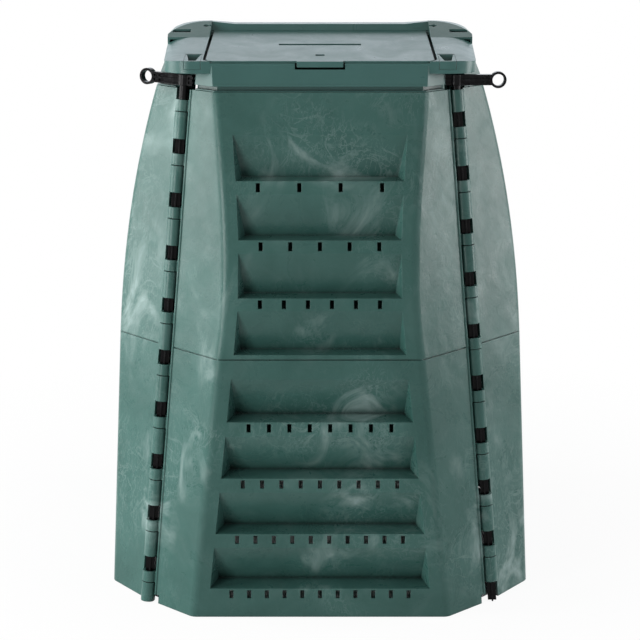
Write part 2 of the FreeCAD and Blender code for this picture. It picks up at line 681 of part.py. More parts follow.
def uprights(block, smallest_y):
    """The upright edges of a block that lie at least a distance from the XZ plane."""
    return [e for e in block.Edges
            if abs(e.tangentAt(e.FirstParameter).z) > 0.9 and abs(e.Vertexes[0].Y) > smallest_y]


def rounded_block(x_half, y_low, y_high, radius, bottom, top):
    """An upright block with rounded corners."""
    block = box((-x_half, y_low, bottom), (x_half, y_high, top))
    return block.makeFillet(radius, uprights(block, 0.0))


def lid_plate(inset, bottom):
    """The rounded top of the lid, which overhangs the corners and is widest at the ridge."""
    half = PLATE_HALF - inset
    nose = PLATE_NOSE_HALF - inset
    side = PLATE_SIDE_HALF - inset
    loop = [(-nose, -half), (nose, -half), (side, 0), (nose, half), (-nose, half), (-side, 0)]
    points = [V(x, y, bottom) for x, y in loop]
    block = Part.Face(Part.makePolygon(points + points[:1])).extrude(V(0, 0, RIM + 2 * RIDGE - bottom))
    return block.makeFillet(PLATE_CORNER - inset, uprights(block, half / 2))


def crown_profile(drop, under, reach):
    """The block under the right crown's outline seen from the front, moved down by a drop."""
    outer_x = PLATE_SIDE_HALF + OVER
    crown = RIM + CROWN_TOP - drop
    foot = crown - CROWN_DROP
    ellipse = Part.Ellipse(V(outer_x, 0, foot), V(CROWN_X, 0, crown), V(CROWN_X, 0, foot))
    outline = [
        Part.ArcOfEllipse(ellipse, 0, math.pi / 2).toShape(),
        Part.makeLine(V(CROWN_X, 0, crown), V(0, 0, crown)),
        Part.makeLine(V(0, 0, crown), V(0, 0, under)),
        Part.makeLine(V(0, 0, under), V(outer_x, 0, under)),
        Part.makeLine(V(outer_x, 0, under), V(outer_x, 0, foot))]
    profile = Part.Face(Part.Wire(Part.__sortEdges__(outline)))
    profile.translate(V(0, -reach, 0))
    return profile.extrude(V(0, 2 * reach, 0))


def saddle(drop):
    """The roof's rise to the right crown, beside the flaps, moved down by a drop."""
    inner_x = FLAP_HALF + FLAP_SIDE_GAP
    top = RIM + CROWN_TOP - drop
    foot = roof_height(SADDLE_HALF) - drop
    under = RIM - 6 * OVER
    loop = [(-SADDLE_HALF, under), (-SADDLE_HALF, foot), (-CROWN_TOP_HALF, top),
            (CROWN_TOP_HALF, top), (SADDLE_HALF, foot), (SADDLE_HALF, under)]
    points = [V(inner_x, y, z) for y, z in loop]
    block = Part.Face(Part.makePolygon(points + points[:1])).extrude(V(PLATE_SIDE_HALF, 0, 0))
    return block.common(crown_profile(drop, under, 2 * SADDLE_HALF))


def plain_roof(drop):
    """The roof as in lid_roof, without the rises to the crowns."""
    level = RIM + RIDGE - drop
    outer_x = PLATE_SIDE_HALF + OVER
    base = RIM - 6 * OVER
    foot = level - SHOULDER_DROP
    centre = V(SHOULDER_START, 0, foot)
    ellipse = Part.Ellipse(V(outer_x, 0, foot), V(SHOULDER_START, 0, level), centre)
    right = [
        Part.makeLine(V(0, 0, level), V(SHOULDER_START, 0, level)),
        Part.ArcOfEllipse(ellipse, 0, math.pi / 2).toShape(),
        Part.makeLine(V(outer_x, 0, foot), V(outer_x, 0, base)),
        Part.makeLine(V(outer_x, 0, base), V(0, 0, base)),
        Part.makeLine(V(0, 0, base), V(0, 0, level))]
    profile = Part.Face(Part.Wire(Part.__sortEdges__(right)))
    reach = PLATE_HALF + 4 * OVER
    quarter = profile.extrude(V(0, -reach, -reach * ROOF_SLOPE))
    front = quarter.fuse(mirrored_x(quarter))
    return front.fuse(mirrored_y(front))


def lid_roof(drop):
    """Everything under the roof's surface moved down by a drop: ridged, and rounded at the sides."""
    rise = saddle(drop)
    return plain_roof(drop).fuse([rise, mirrored_x(rise)]).removeSplitter()


def roof_height(y):
    """Height of the flaps' surface at a distance y from the ridge."""
    return RIM + RIDGE - ROOF_SLOPE * abs(y)


def both_ends(shapes):
    """The shapes and their copies half a turn round."""
    return list(shapes) + [turned(shape) for shape in shapes]


def handle_pockets(radius, top):
    """Cylinders about the four rods, in which the handles turn."""
    front = [rod_tube(sx, RIM - 6 * OVER, RIM + 2 * RIDGE, radius) for sx in (-1, 1)]
    return Part.makeCompound(both_ends(front)).common(slab(0, top))


def catch_block(half, front, back, bottom):
    """Blocks at the four lid catches, from a floor up past the roof."""
    blocks = []
    for sx in (-1, 1):
        low_x, high_x = sorted((sx * (CATCH_AT_X - half), sx * (CATCH_AT_X + half)))
        blocks.append(box((low_x, -front, bottom), (high_x, -back, RIM + RIDGE)))
    return Part.makeCompound(both_ends(blocks))


# ---------------------------------------------------------------- the lid's frame
PIN_Y = -(RIDGE_BAR_HALF + FLAP_REAR_GAP + PIN_INSET)
PIN_Z = roof_height(PIN_Y) - PIN_INSET
FLAP_REAR = RIDGE_BAR_HALF + FLAP_REAR_GAP


def bar_section(x, top_half, top):
    """The ridge bar's outline across the ridge, at a place along it."""
    half = RIDGE_BAR_HALF
    foot = roof_height(half)
    under = RIM + RIDGE_BAR_UNDER
    loop = [(-half, under), (-half, foot), (-top_half, top), (top_half, top), (half, foot), (half, under)]
    points = [V(x, y, z) for y, z in loop]
    return Part.makePolygon(points + points[:1])


def ridge_bar():
    """The raised bar between the flaps, which rises to a crown at each end and is hollow below."""
    top = RIM + RIDGE_BAR_TOP
    crown = RIM + CROWN_TOP
    outer_x = PLATE_SIDE_HALF + OVER
    stations = [(0.0, RIDGE_BAR_TOP_HALF, top), (CROWN_START, RIDGE_BAR_TOP_HALF, top),
                (CROWN_X, CROWN_TOP_HALF, crown), (outer_x, CROWN_TOP_HALF, crown)]
    runs = []
    for start, end in zip(stations, stations[1:]):
        runs.append(Part.makeLoft([bar_section(*start), bar_section(*end)], True, True))
    half_bar = runs[0].fuse(runs[1:])
    under = RIM + RIDGE_BAR_UNDER - OVER
    half_bar = half_bar.common(crown_profile(0.0, under, 2 * RIDGE_BAR_HALF))
    half_bar = half_bar.common(lid_plate(0.0, RIM))
    hollow_half = RIDGE_BAR_HALF - LID_WALL
    hollow_x = FLAP_HALF + FLAP_SIDE_GAP
    hollow = box((-OVER, -hollow_half, under), (hollow_x, hollow_half, roof_height(0) - LID_WALL))
    half_bar = half_bar.cut(hollow)
    return half_bar.fuse(mirrored_x(half_bar))


def flap_outline(gap, rear):
    """An upright block round the front flap with a gap at its sides, rounded at the front corners."""
    half = FLAP_HALF + gap
    front = rounded_block(half, -SKIRT_TOP_HALF - gap / 2, -SKIRT_TOP_HALF / 2, FLAP_CORNER + gap,
                          RIM, RIM + 2 * RIDGE)
    back = box((-half, -SKIRT_TOP_HALF * 3 / 4, RIM), (half, rear, RIM + 2 * RIDGE))
    return front.fuse(back)


def pin_place(sx, radius, start, length):
    """A cylinder on the front flap's hinge axis, starting at a distance from the middle."""
    return Part.makeCylinder(radius, length, V(sx * start, PIN_Y, PIN_Z), V(sx, 0, 0))


def gutter_lane(sx, wall, rear):
    """The upright block over a gutter beside the front flap, with a wall's thickness round it."""
    low_x, high_x = sorted((sx * (FLAP_HALF - GUTTER_UNDER_FLAP - wall),
                            sx * (FLAP_HALF + FLAP_SIDE_GAP + wall)))
    return box((low_x, -GUTTER_FRONT - wall, RIM), (high_x, -rear + wall, RIM + 2 * RIDGE))


def lid_frame():
    """The lid without its flaps and catches."""
    bottom = RIM + LID_GAP
    plate_bottom = RIM + PLATE_UNDER
    outer = lid_skirt(0.0, bottom).fuse(lid_plate(0.0, plate_bottom)).common(lid_roof(0.0))
    inner = lid_skirt(LID_WALL, bottom - OVER).fuse(lid_plate(LID_WALL, plate_bottom + LID_WALL))
    frame = outer.cut(inner.common(lid_roof(LID_WALL)))

    seat_depth = FLAP_THICK + SEAT_GAP
    recess_half = FLAP_HALF + FLAP_SIDE_GAP
    under_roof = lid_roof(seat_depth)
    ledge_zone = box((-recess_half - LID_WALL, -PLATE_HALF, RIM),
                     (recess_half + LID_WALL, PLATE_HALF, RIM + 2 * RIDGE))
    ledge = under_roof.cut(plain_roof(seat_depth + LID_WALL)).common(ledge_zone).common(outer)
    pocket_wall = handle_pockets(HANDLE_POCKET + LID_WALL, plate_bottom + LID_WALL)
    pocket_wall = pocket_wall.common(lid_skirt(0.0, bottom))
    liner = catch_block(CATCH_POCKET_HALF + LID_WALL, PLATE_HALF,
                        PLATE_HALF - CATCH_POCKET_DEEP - LID_WALL,
                        RIM + CATCH_LOW - LID_WALL).common(outer)
    lug_out = FLAP_HALF + PIN_LENGTH + 2 * LID_WALL
    lugs = []
    for sx in (-1, 1):
        low_x, high_x = sorted((sx * recess_half, sx * lug_out))
        lugs.append(box((low_x, PIN_Y - 2 * PIN_RADIUS - LID_WALL, PIN_Z - PIN_RADIUS - LID_WALL),
                        (high_x, -RIDGE_BAR_HALF + LID_WALL, RIM + 2 * RIDGE)).common(outer))
    gutters = []
    gutter_rear = -PIN_Y + 2 * PIN_RADIUS + 2 * LID_WALL
    gutter_floor = seat_depth + GUTTER_DEEP
    for sx in (-1, 1):
        lane = gutter_lane(sx, LID_WALL, gutter_rear)
        gutters.append(under_roof.cut(plain_roof(gutter_floor + LID_WALL)).common(lane))
    rim_rings = [ring_of(RIM_HALF - LOCATOR_STEP, FLAT_WAIST[-1][1], LOCATOR_WIDE, low, high)
                 for low, high in ((RIM + SEAT_GAP, RIM + LOCATOR_FOOT), (bottom, bottom + LID_WALL))]
    lip_half = RIM_HALF - WALL - LOCATOR_CLEAR
    lip = ring_of(lip_half, FLAT_WAIST[-1][1] - LOCATOR_CLEAR, LID_WALL,
                  RIM - LOCATOR_DEEP, bottom + LID_WALL)
    frame = frame.fuse([ledge, pocket_wall, liner, lip] + rim_rings + both_ends(lugs + gutters))

    recess = []
    flap_zone = flap_outline(FLAP_SIDE_GAP, -FLAP_REAR + FLAP_REAR_GAP)
    recess.append(flap_zone.cut(under_roof))
    recess.append(box((-FLAP_OPENING_HALF, -(SKIRT_TOP_HALF - FLAP_FRONT_LEDGE), RIM - 6 * OVER),
                      (FLAP_OPENING_HALF, -FLAP_REAR + FLAP_REAR_GAP, RIM + 2 * RIDGE)))
    hand_top = roof_height(SKIRT_TOP_HALF)
    recess.append(box((-HAND_RECESS_HALF, -FAR, hand_top - seat_depth - HAND_RECESS_HIGH),
                      (HAND_RECESS_HALF, -(SKIRT_TOP_HALF - HAND_RECESS_DEEP), RIM + 2 * RIDGE)))
    for sx in (-1, 1):
        low_x, high_x = sorted((sx * (FLAP_OPENING_HALF - OVER), sx * recess_half))
        recess.append(box((low_x, PIN_Y - 2 * PIN_RADIUS, PIN_Z - 2 * PIN_RADIUS),
                          (high_x, -RIDGE_BAR_HALF, RIM + 2 * RIDGE)))
        pin_end = FLAP_HALF + PIN_LENGTH
        recess.append(pin_place(sx, PIN_RADIUS + PIN_CLEAR, recess_half - OVER,
                                pin_end + PIN_MOUTH + PIN_CLEAR - recess_half + OVER))
        low_x, high_x = sorted((sx * recess_half, sx * pin_end))
        recess.append(box((low_x, PIN_Y - PIN_SLOT / 2, PIN_Z),
                          (high_x, PIN_Y + PIN_SLOT / 2, RIM + 2 * RIDGE)))
        recess.append(Part.makeCylinder(PIN_MOUTH, RIDGE, V(sx * pin_end, PIN_Y, PIN_Z)))
        recess.append(gutter_lane(sx, 0.0, gutter_rear).cut(lid_roof(gutter_floor)))
        low_x, high_x = sorted((sx * (SHOULDER_SLIT_X - SHOULDER_SLIT / 2),
                                sx * (SHOULDER_SLIT_X + SHOULDER_SLIT / 2)))
        recess.append(box((low_x, -SHOULDER_SLIT_FROM_RIDGE - SHOULDER_SLIT_WIDE / 2, RIM + EAVES),
                          (high_x, -SHOULDER_SLIT_FROM_RIDGE + SHOULDER_SLIT_WIDE / 2, RIM + 2 * RIDGE)))
    cuts = both_ends(recess)
    cuts.append(box((-recess_half, -FLAP_REAR, RIM - 6 * OVER), (recess_half, FLAP_REAR, RIM + 2 * RIDGE)))
    cuts.append(handle_pockets(HANDLE_POCKET, plate_bottom))
    cuts.append(catch_block(CATCH_POCKET_HALF, PLATE_HALF + OVER, PLATE_HALF - CATCH_POCKET_DEEP,
                            RIM + CATCH_LOW))
    for sx in (-1, 1):
        cuts += both_ends([catch_peg(sx, PEG_CLEAR)])
    for cut in cuts:
        frame = frame.cut(cut)
    return frame.fuse(ridge_bar())


# ---------------------------------------------------------------- flaps and catches
def front_flap():
    """The front flap: a sloping plate with stiffening ribs, a finger tab and two hinge pins."""
    top_zone = flap_outline(0.0, -FLAP_REAR)
    body = lid_skirt(0.0, RIM + LID_GAP).fuse(lid_plate(0.0, RIM + PLATE_UNDER))
    plate = lid_roof(0.0).cut(lid_roof(FLAP_THICK)).common(top_zone).common(body)
    rib_x = FLAP_OPENING_HALF - FLAP_RIB_CLEAR
    rib_front = SKIRT_TOP_HALF - FLAP_FRONT_LEDGE - FLAP_RIB_CLEAR
    rib_rear = -PIN_Y + 2 * PIN_INSET
    rib_zone = box((-rib_x, -rib_front, RIM), (rib_x, -rib_rear, RIM + 2 * RIDGE))
    rib_hollow = box((-rib_x + FLAP_THICK, -rib_front + FLAP_THICK, RIM - OVER),
                     (rib_x - FLAP_THICK, -rib_rear - FLAP_THICK, RIM + 3 * RIDGE))
    bars = rib_zone.cut(rib_hollow)
    for x in (-rib_x / 3, rib_x / 3):
        bars = bars.fuse(box((x - FLAP_THICK / 2, -rib_front, RIM),
                             (x + FLAP_THICK / 2, -rib_rear, RIM + 2 * RIDGE)))
    ribs = bars.common(lid_roof(FLAP_THICK / 2).cut(lid_roof(FLAP_THICK + FLAP_RIB_DEEP)))
    tab_top = roof_height(SKIRT_TOP_HALF)
    tab = box((-TAB_HALF, -SKIRT_TOP_HALF - TAB_OUT, tab_top - FLAP_THICK - TAB_DROP),
              (TAB_HALF, -SKIRT_TOP_HALF + 2 * FLAP_THICK, RIM + 2 * RIDGE)).common(lid_roof(0.0))
    pins = [pin_place(sx, PIN_RADIUS, FLAP_HALF - PIN_LENGTH, 2 * PIN_LENGTH) for sx in (-1, 1)]
    flap = plate.fuse([ribs, tab] + pins)
    groove = box((-GROOVE_HALF, -GROOVE_FROM_RIDGE - GROOVE_WIDE / 2, RIM),
                 (GROOVE_HALF, -GROOVE_FROM_RIDGE + GROOVE_WIDE / 2, RIM + 2 * RIDGE))
    slot = box((-FLAP_SLOT_HALF, -FLAP_SLOT_FROM_RIDGE - FLAP_SLOT_WIDE / 2, RIM),
               (FLAP_SLOT_HALF, -FLAP_SLOT_FROM_RIDGE + FLAP_SLOT_WIDE / 2, RIM + 2 * RIDGE))
    return flap.cut(groove.cut(lid_roof(GROOVE_DEEP))).cut(slot)


def catch_peg(sx, clearance):
    """The peg that guides a catch through the back of its pocket."""
    back = -(PLATE_HALF - CATCH_POCKET_DEEP)
    middle_z = RIM + CATCH_LOW + PEG_RADIUS + LID_WALL
    start = V(sx * CATCH_AT_X, back - CATCH_TRAVEL - LID_WALL, middle_z)
    length = CATCH_TRAVEL + 3 * LID_WALL
    return Part.makeCylinder(PEG_RADIUS + clearance, length, start, V(0, 1, 0))


def finger_scoop(sx):
    """The tapered hollow for a fingertip in a catch, open at the roof and widest at the back."""
    levels = ((RIM + CATCH_LOW + SCOOP_FLOOR, SCOOP_TAPER), (roof_height(PLATE_HALF - SCOOP_DEEP), 0.0))
    wires = []
    for z, taper in levels:
        front = -PLATE_HALF + SCOOP_LIP + taper
        back = -PLATE_HALF + SCOOP_DEEP - taper
        front_half = SCOOP_FRONT_HALF - taper / 2
        back_half = SCOOP_BACK_HALF - taper
        loop = [(-front_half, front), (front_half, front), (back_half, back), (-back_half, back)]
        points = [V(sx * CATCH_AT_X + x, y, z) for x, y in loop]
        wires.append(Part.makePolygon(points + points[:1]))
    return Part.makeLoft(wires, True, True)


def lid_catch(sx):
    """A press catch: a block flush with the lid, with a finger scoop, pushed in towards the middle."""
    back = -(PLATE_HALF - CATCH_POCKET_DEEP) - CATCH_TRAVEL - SEAT_GAP
    half = CATCH_POCKET_HALF - CATCH_CLEAR
    floor = RIM + CATCH_LOW + SEAT_GAP
    block = box((sx * CATCH_AT_X - half, -PLATE_HALF - OVER, floor),
                (sx * CATCH_AT_X + half, back, RIM + 2 * RIDGE))
    block = block.common(lid_plate(0.0, RIM + PLATE_UNDER)).common(lid_roof(0.0))
    return block.cut(finger_scoop(sx)).fuse(catch_peg(sx, 0.0))


pieces = {}
pieces["front_wall_lower"] = front_panel(False)
pieces["front_wall_upper"] = front_panel(True)
pieces["left_wall_lower"] = side_panel(False)
pieces["left_wall_upper"] = side_panel(True)
for storey in ("lower", "upper"):
    pieces["back_wall_" + storey] = turned(pieces["front_wall_" + storey])
    pieces["right_wall_" + storey] = turned(pieces["left_wall_" + storey])
pieces["rod_front_left"] = corner_rod(-1)
pieces["rod_front_right"] = corner_rod(1)
pieces["handle_front_left"] = rod_handle(-1, LEAN_ANGLE, LEFT_SWING)
pieces["handle_front_right"] = rod_handle(1, 0.0, 0.0)
pieces["catch_front_left"] = lid_catch(-1)
pieces["catch_front_right"] = lid_catch(1)
pieces["handle_back_right"] = turned(rod_handle(-1, LEAN_ANGLE, BACK_SWING))
pieces["handle_back_left"] = turned(rod_handle(1, 0.0, BACK_SWING))
for kind in ("rod", "catch"):
    pieces[kind + "_back_right"] = turned(pieces[kind + "_front_left"])
    pieces[kind + "_back_left"] = turned(pieces[kind + "_front_right"])
pieces["lid_frame"] = lid_frame()
pieces["front_flap"] = front_flap()
pieces["back_flap"] = turned(pieces["front_flap"])

os.makedirs("parts", exist_ok=True)
for name, shape in pieces.items():
    shape.exportStep("parts/" + name + ".step")
    print(name, shape.isValid(), len(shape.Solids), round(shape.Volume / 1000.0, 1))
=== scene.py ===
"""Looks of the compost bin with lid: its moulded plastics, softened edges, studio and camera."""

import logging
import math
from dataclasses import dataclass
from enum import Enum

import bmesh
import bpy
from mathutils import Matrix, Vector

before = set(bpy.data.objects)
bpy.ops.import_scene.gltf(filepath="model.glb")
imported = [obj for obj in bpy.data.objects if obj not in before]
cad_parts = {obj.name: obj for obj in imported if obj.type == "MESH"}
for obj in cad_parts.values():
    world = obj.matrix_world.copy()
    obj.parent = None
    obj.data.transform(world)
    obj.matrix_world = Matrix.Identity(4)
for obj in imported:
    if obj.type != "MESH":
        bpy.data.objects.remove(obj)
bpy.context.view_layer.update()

MM = 0.001

log = logging.getLogger("compost_bin")

Colour = tuple[float, float, float]
Point = tuple[float, float, float]
Range = tuple[float, float]

SHARE: Range = (0.0, 1.0)
SHARE_TURNED: Range = (1.0, 0.0)


def opaque(colour: Colour) -> tuple[float, float, float, float]:
    """A colour with full cover, as the node sockets want it."""
    return (*colour, 1.0)


class Side(Enum):
    """The four walls of a storey."""

    FRONT = "front"
    BACK = "back"
    LEFT = "left"
    RIGHT = "right"


class Storey(Enum):
    """The two storeys of the body."""

    LOWER = "lower"
    UPPER = "upper"


class Corner(Enum):
    """The four corners, each with a rod, a handle and a lid catch."""

    FRONT_LEFT = "front_left"
    FRONT_RIGHT = "front_right"
    BACK_LEFT = "back_left"
    BACK_RIGHT = "back_right"


class Sum(Enum):
    """The sums that the materials work out on two values."""

    ADD = "ADD"
    SUBTRACT = "SUBTRACT"
    MULTIPLY = "MULTIPLY"
    LARGER = "MAXIMUM"
    SIZE = "ABSOLUTE"
    IS_OVER = "GREATER_THAN"


@dataclass(frozen=True)
class Clouds:
    """A cloudy noise: clouds per metre, finer octaves, their strength, and how far they are smeared."""

    scale: float
    detail: float
    roughness: float
    distortion: float = 0.0


@dataclass(frozen=True)
class Stretch:
    """How a place is turned and stretched, for marks that run one way."""

    scale: Point
    turn: Point


@dataclass(frozen=True)
class Relief:
    """A surface relief: its noise, the height that it stands for in metres, and the share that shows."""

    clouds: Clouds
    height: float
    strength: float


FLOW = Clouds(4.5, 4.0, 0.6, 0.6)
FLOW_STOPS: Range = (0.3, 0.62)
SMEARS = Clouds(1.0, 6.0, 0.62, 1.4)
SMEAR_STRETCH = Stretch((8.0, 8.0, 6.0), (0.3, 0.4, 0.7))
SMEAR_BAND: Range = (0.52, 0.72)
THREADS = Clouds(11.0, 5.0, 0.6, 1.2)
THREAD_HALF_BAND = 0.016
THREAD_SHARE = 0.3
SCRATCHES = Clouds(1.0, 5.0, 0.6, 1.2)
SCRATCH_STRETCH = Stretch((60.0, 60.0, 22.0), (0.5, 0.2, 0.9))
SCRATCH_HALF_BAND = 0.02
SCRATCH_SHARE = 0.3
PATCHES = Clouds(4.2, 3.0, 0.6, 0.5)
PATCH_BAND: Range = (0.46, 0.64)
LEAST_WEAR = 0.06
WEAR_DULLS = 0.25
SHINE = Clouds(14.0, 6.0, 0.7, 0.8)
SHINE_BAND: Range = (0.3, 0.7)
SAG = Clouds(9.0, 2.0, 0.5, 0.4)
SAG_HEIGHT = 4.0 * MM
PEEL = Clouds(70.0, 3.0, 0.55, 0.8)
PEEL_HEIGHT = 0.5 * MM
GREEN_GRAIN = Relief(Clouds(900.0, 2.0, 0.6), 0.12 * MM, 0.3)

BLACK_SCUFFS = Clouds(60.0, 6.0, 0.7, 1.2)
BLACK_SCUFF_STOPS: Range = (0.45, 0.8)
BLACK_SHINE_BAND: Range = (0.35, 0.7)
BLACK_SINK = Relief(Clouds(45.0, 2.0, 0.5), 1.2 * MM, 0.5)
BLACK_GRAIN = Relief(Clouds(1300.0, 2.0, 0.6), 0.08 * MM, 0.3)

# the sockets of a mix node that take and give colours
MIX_FIRST = 6
MIX_SECOND = 7
MIX_COLOUR = 2

EDGE_SAMPLES = 6
# samples and occlusion band of the painted shade in narrow gaps
GAP_SAMPLES = 6
GAP_BAND: Range = (0.18, 0.55)


class NodeBench:
    """A small helper that places and joins the nodes of one material or of the surroundings."""

    def __init__(self, name: str) -> None:
        """Starts an empty material.

        Args:
            name: the material's name.
        """
        self.material = bpy.data.materials.new(name)
        self.material.use_nodes = True
        self.tree = self.material.node_tree
        self.tree.nodes.clear()

    @classmethod
    def on(cls, tree: bpy.types.NodeTree) -> "NodeBench":
        """Works on a tree that is there already.

        Args:
            tree: the tree, which is emptied.

        Returns:
            A bench for it, without a material.
        """
        bench = cls.__new__(cls)
        bench.material = None
        bench.tree = tree
        tree.nodes.clear()
        return bench

    def add(self, kind: str, **settings: object) -> bpy.types.Node:
        """Adds a node.

        Args:
            kind: the node's type name.
            settings: properties of the node, or values of its inputs by name with spaces as "__".

        Returns:
            The new node.
        """
        node = self.tree.nodes.new(kind)
        for key, value in settings.items():
            if hasattr(node, key):
                setattr(node, key, value)
            else:
                node.inputs[key.replace("__", " ")].default_value = value
        return node

    def join(self, source: bpy.types.NodeSocket, target: bpy.types.NodeSocket) -> None:
        """Links one socket to another."""
        self.tree.links.new(source, target)

    def place(self) -> bpy.types.NodeSocket:
        """A point's place on the object in metres, before any pose."""
        return self.add("ShaderNodeTexCoord").outputs["Object"]

    def noise(self, place: bpy.types.NodeSocket, clouds: Clouds) -> bpy.types.NodeSocket:
        """Cloudy noise.

        Args:
            place: where the noise is read.
            clouds: its sizes.

        Returns:
            The noise's value, about 0.5.
        """
        node = self.add("ShaderNodeTexNoise", Scale=clouds.scale, Detail=clouds.detail,
                        Roughness=clouds.roughness, Distortion=clouds.distortion)
        self.join(place, node.inputs["Vector"])
        return node.outputs["Fac"]

    def stretched(self, place: bpy.types.NodeSocket, stretch: Stretch) -> bpy.types.NodeSocket:
        """The place turned and stretched."""
        node = self.add("ShaderNodeMapping", Scale=stretch.scale, Rotation=stretch.turn)
        self.join(place, node.inputs["Vector"])
        return node.outputs["Vector"]

    def ramp(self, value: bpy.types.NodeSocket, stops: Range, first: Colour,
             second: Colour) -> bpy.types.NodeSocket:
        """A colour that runs from one to another as a value grows.

        Args:
            value: the value that picks.
            stops: the values at which the first colour ends and the second begins.
            first: the colour at low values.
            second: the colour at high values.

        Returns:
            The colour.
        """
        node = self.add("ShaderNodeValToRGB")
        for element, position, colour in zip(node.color_ramp.elements, stops, (first, second)):
            element.position = position
            element.color = opaque(colour)
        self.join(value, node.inputs["Fac"])
        return node.outputs["Color"]

    def span(self, value: bpy.types.NodeSocket, start: Range, end: Range) -> bpy.types.NodeSocket:
        """A value moved from one range to another, and kept inside it."""
        node = self.add("ShaderNodeMapRange", From__Min=start[0], From__Max=start[1],
                        To__Min=end[0], To__Max=end[1])
        self.join(value, node.inputs["Value"])
        return node.outputs["Result"]

    def blend(self, factor: bpy.types.NodeSocket, first: bpy.types.NodeSocket,
              second: Colour) -> bpy.types.NodeSocket:
        """A colour shading over to a fixed one by a factor."""
        node = self.add("ShaderNodeMix", data_type="RGBA")
        self.join(factor, node.inputs["Factor"])
        self.join(first, node.inputs[MIX_FIRST])
        node.inputs[MIX_SECOND].default_value = opaque(second)
        return node.outputs[MIX_COLOUR]

    def bump(self, place: bpy.types.NodeSocket, relief: Relief,
             before: bpy.types.NodeSocket | None = None) -> bpy.types.NodeSocket:
        """A surface relief.

        Args:
            place: where its noise is read.
            relief: its sizes.
            before: the relief that this one lies on.

        Returns:
            The surface direction.
        """
        height = self.noise(place, relief.clouds)
        node = self.add("ShaderNodeBump", Strength=relief.strength, Distance=relief.height)
        self.join(height, node.inputs["Height"])
        if before is not None:
            self.join(before, node.inputs["Normal"])
        return node.outputs["Normal"]

    def soft_edge(self, width: float, before: bpy.types.NodeSocket) -> bpy.types.NodeSocket:
        """Rounds the edges in the shading, as a mould leaves them.

        Args:
            width: the rounding's radius in metres.
            before: the relief of the faces.

        Returns:
            The surface direction.
        """
        node = self.add("ShaderNodeBevel", samples=EDGE_SAMPLES, Radius=width)
        self.join(before, node.inputs["Normal"])
        return node.outputs["Normal"]

    def sum(self, kind: Sum, first: bpy.types.NodeSocket,
            second: bpy.types.NodeSocket | float = 0.0) -> bpy.types.NodeSocket:
        """Works out one sum.

        Args:
            kind: the sum.
            first: the first value.
            second: the second value, a socket or a number, where the sum takes two.

        Returns:
            The result.
        """
        node = self.add("ShaderNodeMath", operation=kind.value)
        self.join(first, node.inputs[0])
        if isinstance(second, bpy.types.NodeSocket):
            self.join(second, node.inputs[1])
        else:
            node.inputs[1].default_value = second
        return node.outputs[0]

    def threads(self, place: bpy.types.NodeSocket, clouds: Clouds,
                half_band: float) -> bpy.types.NodeSocket:
        """Thin swirling threads, where a cloudy noise crosses its middle value.

        Args:
            place: where the threads are read.
            clouds: the noise.
            half_band: half the band of values that counts as a thread.

        Returns:
            1 on a thread, 0 away from it.
        """
        middle = 0.5
        away = self.sum(Sum.SIZE, self.sum(Sum.SUBTRACT, self.noise(place, clouds), middle))
        return self.span(away, (0.0, half_band), SHARE_TURNED)

    def painted_crevice_shade(self, reach: float) -> bpy.types.NodeSocket:
        """1 deep in narrow gaps and creases, where painted shade darkens the colour, and 0 on open faces.

        Args:
            reach: width of a gap that counts as narrow, in metres.

        Returns:
            The share of painted shade.
        """
        node = self.add("ShaderNodeAmbientOcclusion", samples=GAP_SAMPLES, Distance=reach)
        return self.span(node.outputs["AO"], GAP_BAND, SHARE_TURNED)

    def seen_white(self) -> bpy.types.NodeSocket:
        """1 for rays from the camera, through clear parts or off glossy parts, and 0 for the others."""
        path = self.add("ShaderNodeLightPath")
        direct = self.sum(Sum.LARGER, path.outputs["Is Camera Ray"], path.outputs["Is Transmission Ray"])
        return self.sum(Sum.LARGER, direct, path.outputs["Is Glossy Ray"])

    def finish(self, shader: bpy.types.NodeSocket) -> bpy.types.Material:
        """Ends the material with its surface shader."""
        output = self.add("ShaderNodeOutputMaterial")
        self.join(shader, output.inputs["Surface"])
        return self.material

    def plastic(self, colour: bpy.types.NodeSocket, rough: bpy.types.NodeSocket,
                surface: bpy.types.NodeSocket, specular: float) -> bpy.types.Material:
        """Ends the material as a plastic.

        Args:
            colour: its colour.
            rough: its roughness.
            surface: its surface direction.
            specular: strength of its reflections.

        Returns:
            The finished material.
        """
        shader = self.add("ShaderNodeBsdfPrincipled", Specular__IOR__Level=specular)
        self.join(colour, shader.inputs["Base Color"])
        self.join(rough, shader.inputs["Roughness"])
        self.join(surface, shader.inputs["Normal"])
        return self.finish(shader.outputs["BSDF"])


